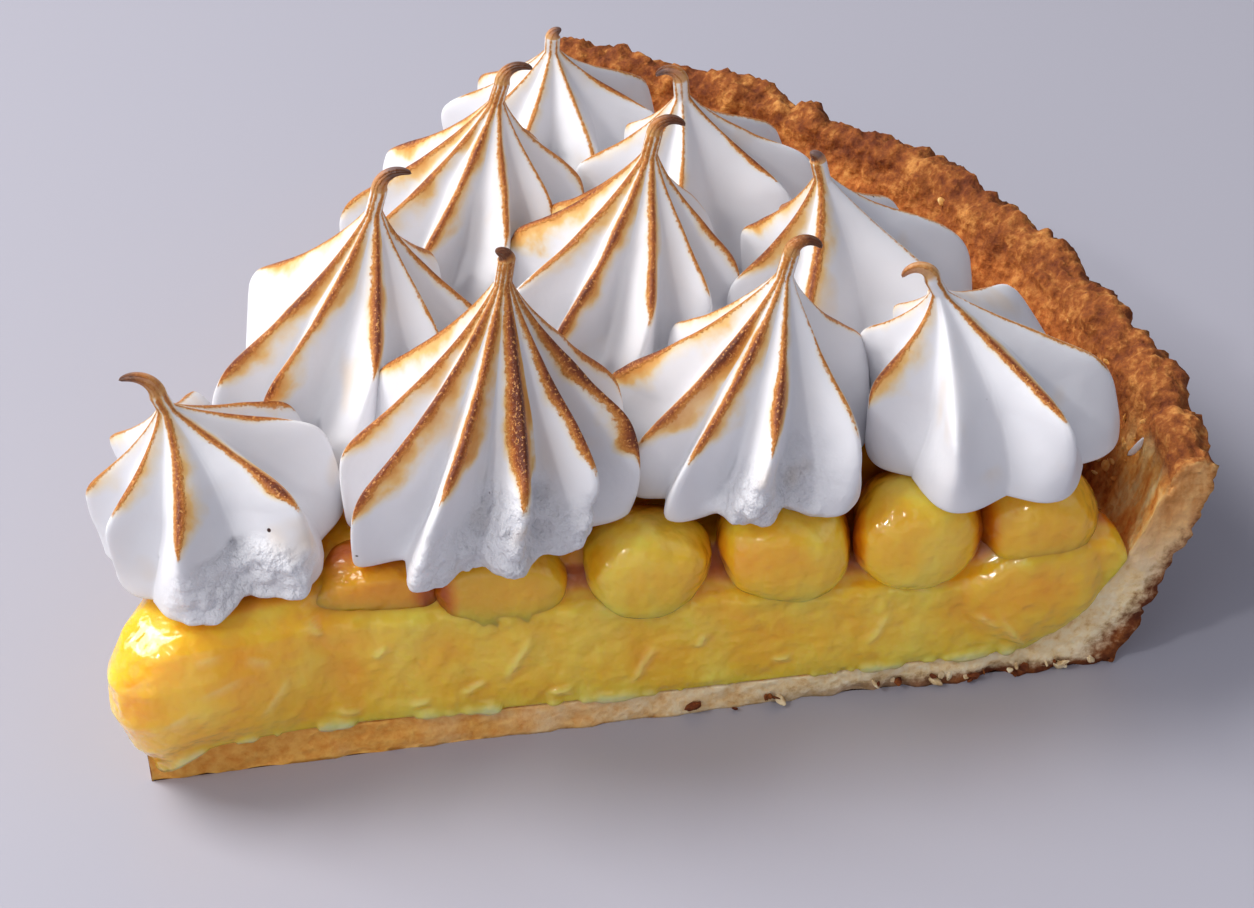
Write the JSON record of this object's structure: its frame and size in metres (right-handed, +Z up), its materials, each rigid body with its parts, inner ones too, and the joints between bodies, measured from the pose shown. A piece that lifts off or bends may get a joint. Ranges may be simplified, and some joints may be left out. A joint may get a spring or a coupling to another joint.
{
  "type": "lemon meringue pie slice",
  "caption": "Cut slice of lemon meringue pie: crumbly short crust, thick lemon curd with piped drops, and torched piped meringue kisses.",
  "frame": {"origin": "on the flat underside of the crust, under the middle of the slice's length", "axes": "+X along the middle of the slice from its point to the crust, +Z up from the underside"},
  "size_m": [0.1313, 0.1273, 0.058],
  "materials": {
    "crust": "baked short crust, crumbly and golden brown",
    "curd": "glossy translucent lemon curd, cut with a knife",
    "drops": "glossy piped lemon curd",
    "meringue": "soft white piped meringue, ridges torched brown"
  },
  "bodies": {
    "root": {"crust": "crust", "curd": "curd", "drop_front_1": "drops", "drop_front_2": "drops", "drop_front_3": "drops", "drop_front_4": "drops", "drop_front_5": "drops", "drop_front_6": "drops", "drop_rear_1": "drops", "drop_rear_2": "drops", "drop_rear_3": "drops", "drop_rear_4": "drops", "drop_rear_5": "drops", "drop_rear_6": "drops", "drop_rear_7": "drops", "drop_rim_1": "drops", "drop_rim_2": "drops", "drop_rim_3": "drops", "drop_rim_4": "drops", "drop_rim_5": "drops", "drop_rim_6": "drops", "kiss_1": "meringue", "kiss_2": "meringue", "kiss_3": "meringue", "kiss_4": "meringue", "kiss_5": "meringue", "kiss_6": "meringue", "kiss_7": "meringue", "kiss_8": "meringue", "kiss_9": "meringue", "kiss_10": "meringue"}
  },
  "joints": []
}
